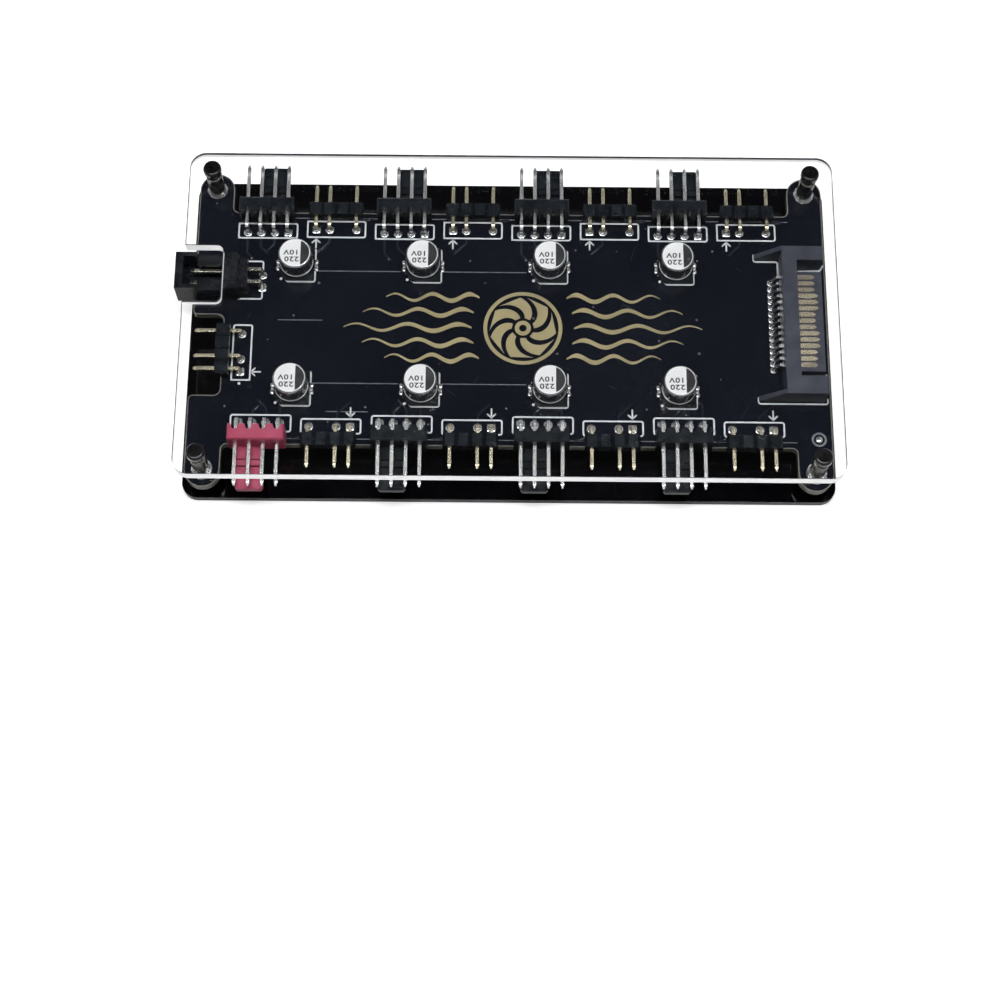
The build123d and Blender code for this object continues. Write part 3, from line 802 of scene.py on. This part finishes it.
# Small dots: drilled vias filled with mask, the ink dot by each capacitor and beside the light
# input, and the round test pad near the front right post.
VIA_PROFILE = ((1.0, 0.0), (1.0, 0.03), (0.8, 0.05), (0.55, 0.04), (0.4, 0.0))
DOT_PROFILE = ((1.0, 0.0), (1.0, 0.03), (0.9, 0.04))
DOME_PROFILE = ((1.0, 0.0), (0.97, 0.06), (0.8, 0.13), (0.5, 0.18), (0.2, 0.2))
VIA_OFFSETS = ((-2.9, -5.4), (6.5, -3.2))
DOT_OFFSET = Vector((-2.98, -2.82)) * MM
INPUT_DOT = (-6.15, 0.1)
TEST_PAD = Vector((56.96, -21.88)) * MM
via = solder_pad("via", 0.2, 0.2, 2, VIA_PROFILE)
via_places = [port.at(*offset) for port in rear_fans + front_fans for offset in VIA_OFFSETS]
add_piece(stand_on("board_vias", via, via_places, board_top, thin_ink))
ink_dot = solder_pad("ink_dot", 0.27, 0.27, 2, DOT_PROFILE)
dot_places = [centre + DOT_OFFSET for centre in capacitor_centres]
dot_places.append(led_input.at(*INPUT_DOT))
add_piece(stand_on("board_ink_dots", ink_dot, dot_places, board_top, white_ink))
test_ring = bmesh.new()
rings = [arc_points(TEST_PAD, radius, 48) for radius in (1.4, 1.0)]
ribbon(test_ring, *rings, board_top, board_top + INK_HEIGHT, closed=True)
bmesh.ops.recalc_face_normals(test_ring, faces=test_ring.faces)
add_piece(mesh_piece("test_pad_ring", test_ring, thin_ink))
test_dome = solder_pad("test_dome", 0.66, 0.66, 2, DOME_PROFILE)
add_piece(stand_on("test_pad", test_dome, [TEST_PAD], board_top, tinned))

# Fan ports: glass-filled nylon blocks with a guide tongue, black but for the magenta one that
# carries the speed signal back. Square tinned pins are pressed through them and bent down.
MOULDED = {"grain": 7000, "bump": 0.16, "edge": 0.1, "Specular_IOR_Level": 0.25}
BRIGHT_PIN = {"drift": 600, "bump": 0.03, "edge": 0.14, "Metallic": 1.0}
ALONG_PINS = (1, 0.2, 1)
PINK = 5
black_port = finish("port_black", tone(12, 17, 22), tone(22, 28, 34), (0.2, 0.28), drift=420, **MOULDED)
pink_port = finish("port_pink", tone(160, 54, 83), tone(175, 72, 101), (0.28, 0.38), drift=330, **MOULDED)
pin_tin = finish(
    "tin", tone(226, 227, 226), tone(204, 205, 205), (0.22, 0.28), stretch=ALONG_PINS, **BRIGHT_PIN
)
for number in range(1, 9):
    dress(pink_port if number == PINK else black_port, f"fan_header_{number}_housing")
    dress(pin_tin, f"fan_header_{number}_pins")

# Light ports and the light input: lengths of moulded pin strip, grooved between the pins, with one
# pin left out. The pins have a thin flash of pale gold.
FLASHED_PIN = BRIGHT_PIN | {"edge": 0.16, "stretch": ALONG_PINS}
pin_gold = finish("gold", tone(222, 214, 190), tone(204, 196, 170), (0.22, 0.28), **FLASHED_PIN)
for name in [f"led_header_{n}" for n in range(1, 9)] + ["led_input"]:
    dress(black_port, f"{name}_housing")
    dress(pin_gold, f"{name}_pins")

# Speed-signal input: a shrouded socket of black nylon, with a window for the plug's latch. Its two
# tinned pins are bent down behind it and soldered to the board.
BIG_MOULDED = MOULDED | {"edge": 0.12}
socket_black = finish(
    "socket_grey", tone(10, 13, 17), tone(22, 25, 30), (0.22, 0.3), drift=300, **BIG_MOULDED
)
dress(socket_black, "pwm_input_housing")
socket_pin = finish("socket_tin", tone(214, 210, 200), tone(192, 188, 178), (0.17, 0.22), **BRIGHT_PIN)
dress(socket_pin, "pwm_input_pins")

# Power inlet: a moulded housing of blue-grey plastic with fifteen flat contacts on its tongue. They
# are stamped, with pale gold on the tongue and tin on the tails that are soldered to the board.
TAIL_LENGTH = 4.5 * MM
SMOOTH_MOULDED = BIG_MOULDED | {"bump": 0.14}
inlet_grey = finish(
    "inlet_grey", tone(52, 55, 65), tone(66, 69, 80), (0.28, 0.38), drift=260, **SMOOTH_MOULDED
)
dress(inlet_grey, "power_inlet_housing")


def own_axis(tree, axis):
    """The place on a piece along one of its own axes."""
    return add_node(tree, "ShaderNodeSeparateXYZ", Vector=own_place(tree)).outputs[axis]


contact = finish(
    "contact", tone(230, 220, 198), tone(210, 198, 172), (0.18, 0.28),
    drift=500, stretch=(0.2, 1, 1), Metallic=1.0,
)
contact_tree = contact.node_tree
tail_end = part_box("power_inlet_contacts")[0].x + TAIL_LENGTH
lay_over(contact, maths(contact_tree, "LESS_THAN", own_axis(contact_tree, "X"), tail_end), tone(228, 229, 229))
dress(contact, "power_inlet_contacts")

# Capacitors: drawn aluminium cans on black seats. The top is painted near-white and not metal, a painted
# highlight, with a black field on the minus side and the rating in small black figures, which stand on their
# heads in this view.
MARK_LIFT = 0.01 * MM
MARK_CHORD = 1.05
MARK_RADIUS = 2.72
RATING = ("220", "10V")
FIGURE_HEIGHT = 0.95
FIGURE_STRETCH = (1.3, 1.06)
FIGURE_RIGHT = 0.8
FIRST_ROW, ROW_PITCH = -0.85, 1.4
aluminium = finish(
    "can", tone(176, 177, 179), tone(156, 157, 160), (0.1, 0.18),
    drift=500, bump=0.04, stretch=(1, 1, 0.15), Metallic=1.0,
)
can_tree = aluminium.node_tree
# Painted highlight: the can's upward faces are near-white and not metal.
painted_top_highlight = place_group(aluminium, facing).outputs["Upward"]
lay_over(aluminium, painted_top_highlight, tone(238, 239, 240))
feed(can_tree, can_tree.nodes["Principled BSDF"].inputs["Metallic"], maths(can_tree, "SUBTRACT", 1.0, painted_top_highlight))
dress(aluminium, *CAPACITOR_NAMES)
dress(black_port, "capacitor_seats")
dress(pin_tin, "capacitor_leads")


def minus_field():
    """The black part of a can's top: what lies beyond a chord."""
    reach = math.acos(MARK_CHORD / MARK_RADIUS)
    edge = arc_points(Vector((0, 0)), MARK_RADIUS, 28, -reach, 2 * reach)
    shape = bmesh.new()
    chord = [Vector((MARK_CHORD * MM, p.y)) for p in edge]
    ribbon(shape, edge[1:-1], chord[1:-1], 0.0, MARK_LIFT)
    bmesh.ops.recalc_face_normals(shape, faces=shape.faces)
    return as_object("minus_field", shape)


def figures(text, row):
    """One line of a can's rating as a mesh, turned to be read from the other side."""
    curve = bpy.data.curves.new("figures", "FONT")
    curve.body = text
    curve.size = FIGURE_HEIGHT * 1.38
    curve.align_x = "LEFT"
    curve.extrude = 0.004
    curve.space_character = 1.1
    curve.offset = 0.03
    text_object = bpy.data.objects.new("figures", curve)
    bpy.context.scene.collection.objects.link(text_object)
    evaluated = text_object.evaluated_get(bpy.context.evaluated_depsgraph_get())
    mesh = bpy.data.meshes.new_from_object(evaluated)
    bpy.data.objects.remove(text_object)
    corner = Vector((FIGURE_RIGHT * MM, (FIRST_ROW + ROW_PITCH * row) * MM, MARK_LIFT))
    turn = Matrix.Translation(corner) @ Matrix.Rotation(math.pi, 4, "Z")
    wide, tall = FIGURE_STRETCH
    mesh.transform(turn @ Matrix.Diagonal((wide * MM, tall * MM, MM, 1)))
    return mesh


can_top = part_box(CAPACITOR_NAMES[0])[1].z
mark_black = finish("mark_black", tone(20, 20, 22), tone(30, 30, 33), (0.3, 0.45), drift=700, grain=9000)
add_piece(stand_on("capacitor_minus_fields", minus_field(), capacitor_centres, can_top, mark_black))
rating_shape = bmesh.new()
for row, text in enumerate(RATING):
    rating_shape.from_mesh(figures(text, row))
rating = as_object("rating", rating_shape)
add_piece(stand_on("capacitor_ratings", rating, capacitor_centres, can_top, mark_black))

# Solder joints: the cones of solder round the pins' tails under the board, left where each pin
# came through its hole. They have the finish of the pads on top.
dress(tinned, "solder_joints")

# Posts: turned and nickel-plated brass, on bright rings of bare tinned copper round the board's
# four screw holes.
POST_RADIUS = 1.5
RING_RADII = (1.92, POST_RADIUS - 0.1)
nickel = finish(
    "nickel", tone(136, 134, 128), tone(108, 106, 101), (0.16, 0.28),
    drift=500, stretch=(0.2, 0.2, 3), edge=0.1, Metallic=1.0,
)
dress(nickel, "cover_standoffs")
post_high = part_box("cover_standoffs")[1]
post_x = post_high.x - POST_RADIUS * MM
post_y = post_high.y - POST_RADIUS * MM
foot_shape = bmesh.new()
for side_x in (-1, 1):
    for side_y in (-1, 1):
        centre = Vector((side_x * post_x, side_y * post_y))
        rings = [arc_points(centre, radius, 48) for radius in RING_RADII]
        ribbon(foot_shape, *rings, board_top, board_top + INK_HEIGHT, closed=True)
bmesh.ops.recalc_face_normals(foot_shape, faces=foot_shape.faces)
add_piece(mesh_piece("post_rings", foot_shape, tinned))

# Cover plate: clear cast acrylic with a notch over the speed-signal input. It is laser-cut. Its edge is a band
# painted near-white with a painted glow, with a painted shade line in grey along the upper arris.
EDGE_DEPTH = 0.01 * MM
PAINTED_EDGE_GLOW = 0.6
ARRIS_OUTSIDE, ARRIS_INSIDE = 0.35 * MM, 1.2 * MM


def mix_shaders(tree, share, one, two, result):
    """Shows one shader where the share is 0 and the other where it is 1."""
    mix = add_node(tree, "ShaderNodeMixShader", Fac=share)
    feed(tree, mix.inputs[1], one)
    feed(tree, mix.inputs[2], two)
    feed(tree, result.inputs["Surface"], mix.outputs["Shader"])


clear = bpy.data.materials.new("clear_acrylic")
clear.use_nodes = True
clear_tree = clear.node_tree
glass = clear_tree.nodes["Principled BSDF"]
glass.inputs["Base Color"].default_value = (0.985, 0.99, 0.99, 1)
glass.inputs["Roughness"].default_value = 0.0
glass.inputs["IOR"].default_value = 1.49
glass.inputs["Transmission Weight"].default_value = 1.0
open_way = clear_tree.nodes.new("ShaderNodeBsdfTransparent")
ray = clear_tree.nodes.new("ShaderNodeLightPath").outputs
lamp_or_sky = maths(clear_tree, "MAXIMUM", ray["Is Shadow Ray"], ray["Is Diffuse Ray"])
clear_end = clear_tree.nodes["Material Output"]
mix_shaders(clear_tree, lamp_or_sky, glass.outputs["BSDF"], open_way.outputs["BSDF"], clear_end)
dress(clear, "cover_plate")

cover_low, cover_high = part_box("cover_plate")
cut_line = inset_ring(outer_ring("cover_plate"), EDGE_DEPTH)
edge_shape = bmesh.new()
lower = [edge_shape.verts.new((p.x, p.y, cover_low.z + EDGE_DEPTH)) for p in cut_line]
upper = [edge_shape.verts.new((p.x, p.y, cover_high.z - EDGE_DEPTH)) for p in cut_line]
for i in range(len(cut_line)):
    k = (i + 1) % len(cut_line)
    edge_shape.faces.new((lower[i], lower[k], upper[k], upper[i]))
# Painted light: the edge band is painted near-white and glows, though it is no lamp.
painted_glow_edge = finish(
    "painted_glow_edge", tone(246, 247, 248), tone(232, 234, 237), (0.3, 0.5),
    drift=300, grain=2500, stretch=(1, 1, 0.1), Emission_Strength=PAINTED_EDGE_GLOW,
)
edge_tree = painted_glow_edge.node_tree
# Painted shade: a grey line along the upper arris, set lower where the edge is seen from inside.
from_inside = edge_tree.nodes.new("ShaderNodeNewGeometry").outputs["Backfacing"]
arris_levels = (cover_high.z - ARRIS_OUTSIDE, cover_high.z - ARRIS_INSIDE)
painted_edge_line = maths(
    edge_tree, "GREATER_THAN", own_axis(edge_tree, "Z"), map_range(edge_tree, from_inside, target=arris_levels)
)
lay_over(painted_glow_edge, painted_edge_line, tone(104, 99, 118))
# Painted glow: the band below that line gives off white light.
painted_glow_colour = edge_tree.nodes["Principled BSDF"].inputs["Emission Color"]
feed(edge_tree, painted_glow_colour, blend(edge_tree, painted_edge_line, (1, 1, 1, 1), (0, 0, 0, 1)))
add_piece(mesh_piece("cover_cut_edge", edge_shape, painted_glow_edge))

# Cover screws: black pan-head screws with a cross recess, turned from steel and blackened. They go
# down through the cover into the posts.
dress(black_steel, "cover_screws")

# Floor and light: a white floor and surround, a soft box overhead and weaker ones behind, left and
# right. The surround is dark high up behind, so that the clear cover shows what is under it.
FLOOR_GAP = 0.05 * MM
FLOOR_HALF = 3.0
FADE_REACH, FADE_LEVELS = (0.15, 0.7), (0.55, 1.0)
BEHIND_COVER = 1.15
SKY_LEVEL = 0.5
SKY_TURN, FRONT_SHARE = (-0.7, 0.3), 0.2
DARK_ELEVATION = math.radians(69)
DARK_CONE = (math.cos(math.radians(36)), math.cos(math.radians(16)))
MIRRORED_LEVELS = (0.55, 0.02)
floor_shape = bmesh.new()
floor_corners = [Vector((x, y, 0)) * FLOOR_HALF for x, y in ((-1, -1), (1, -1), (1, 1), (-1, 1))]
floor_shape.faces.new([floor_shape.verts.new((p.x, p.y, -FLOOR_GAP)) for p in floor_corners])
paper = finish(
    "white_floor", tone(214, 214, 214), tone(217, 217, 217), (0.8, 0.9),
    drift=3, Specular_IOR_Level=0.0, Emission_Color=(1, 1, 1, 1),
)
paper_tree = paper.node_tree
paper_ray = paper_tree.nodes.new("ShaderNodeLightPath").outputs
behind = maths(paper_tree, "MULTIPLY", paper_ray["Is Transmission Ray"], BEHIND_COVER)
paper_seen = maths(paper_tree, "MAXIMUM", paper_ray["Is Camera Ray"], behind)
away = maths(paper_tree, "LENGTH", own_place(paper_tree), kind="VectorMath")
paper_glow = maths(paper_tree, "MULTIPLY", paper_seen, map_range(paper_tree, away, FADE_REACH, FADE_LEVELS))
feed(paper_tree, paper_tree.nodes["Principled BSDF"].inputs["Emission Strength"], paper_glow)
mesh_piece("floor", floor_shape, paper)

world = bpy.data.worlds.new("studio")
bpy.context.scene.world = world
world.use_nodes = True
sky_tree = world.node_tree
sky_light = sky_tree.nodes["Background"]
sky_ray = sky_tree.nodes.new("ShaderNodeLightPath").outputs
direction = sky_tree.nodes.new("ShaderNodeTexCoord").outputs["Generated"]
rearward = add_node(sky_tree, "ShaderNodeSeparateXYZ", Vector=direction).outputs["Y"]
sky_levels = (FRONT_SHARE * SKY_LEVEL, SKY_LEVEL)
feed(sky_tree, sky_light.inputs["Strength"], map_range(sky_tree, rearward, SKY_TURN, sky_levels))
dark_way = (0, math.cos(DARK_ELEVATION), math.sin(DARK_ELEVATION))
toward = maths(sky_tree, "DOT_PRODUCT", direction, dark_way, kind="VectorMath")
in_mirrors = map_range(sky_tree, toward, DARK_CONE, MIRRORED_LEVELS)
plain = maths(sky_tree, "MAXIMUM", sky_ray["Is Camera Ray"], in_mirrors)
sky_seen = add_node(sky_tree, "ShaderNodeBackground", Color=plain)
seen = maths(sky_tree, "MAXIMUM", sky_ray["Is Camera Ray"], sky_ray["Is Glossy Ray"])
seen = maths(sky_tree, "MAXIMUM", seen, sky_ray["Is Transmission Ray"])
sky_end = sky_tree.nodes["World Output"]
mix_shaders(sky_tree, seen, sky_light.outputs["Background"], sky_seen.outputs["Background"], sky_end)


def soft_box(name, place, size, watts, mirrored=True):
    """A rectangular lamp that faces the hub, and that shiny faces mirror or don't."""
    lamp = bpy.data.lights.new(name, "AREA")
    lamp.shape = "RECTANGLE"
    lamp.size, lamp.size_y = size
    lamp.energy = watts
    box = bpy.data.objects.new(name, lamp)
    box.location = place
    box.visible_glossy = mirrored
    box.visible_transmission = mirrored
    box.rotation_euler = Vector(place).to_track_quat("Z", "Y").to_euler()
    bpy.context.scene.collection.objects.link(box)


soft_box("top_box", (0.0, 0.02, 0.8), (0.6, 0.18), 5.0)
soft_box("rear_box", (0.0, 0.75, 0.5), (0.9, 0.4), 2.6, mirrored=False)
soft_box("left_box", (-0.7, 0.05, 0.5), (0.4, 0.4), 1.1, mirrored=False)
soft_box("right_box", (0.7, 0.05, 0.5), (0.4, 0.4), 0.8, mirrored=False)
bpy.context.scene.view_settings.view_transform = "Standard"

# Camera: from the front and well above, turned a little, as the hub lies in the picture. The lens is
# a long one, so that the hub's far side is only a little smaller than its near side.
TARGET = Vector((-1.65, -34.1, 7.0)) * MM
ELEVATION, YAW, ROLL = (math.radians(angle) for angle in (70.87, -0.5, 0.94))
DISTANCE = 363.5 * MM
LENS_LENGTH, SENSOR_WIDTH = 72, 36
level_back = Vector((math.sin(YAW), -math.cos(YAW), 0))
back = level_back * math.cos(ELEVATION) + Vector((0, 0, math.sin(ELEVATION)))
level_right = Vector((math.cos(YAW), math.sin(YAW), 0))
level_up = back.cross(level_right)
right = level_right * math.cos(ROLL) + level_up * math.sin(ROLL)
up = level_up * math.cos(ROLL) - level_right * math.sin(ROLL)
lens = bpy.data.cameras.new("camera")
lens.lens = LENS_LENGTH
lens.sensor_width = SENSOR_WIDTH
lens.clip_start = 0.01
camera = bpy.data.objects.new("camera", lens)
pose = Matrix((right, up, back)).transposed().to_4x4()
pose.translation = TARGET + back * DISTANCE
camera.matrix_world = pose
bpy.context.scene.collection.objects.link(camera)
bpy.context.scene.camera = camera
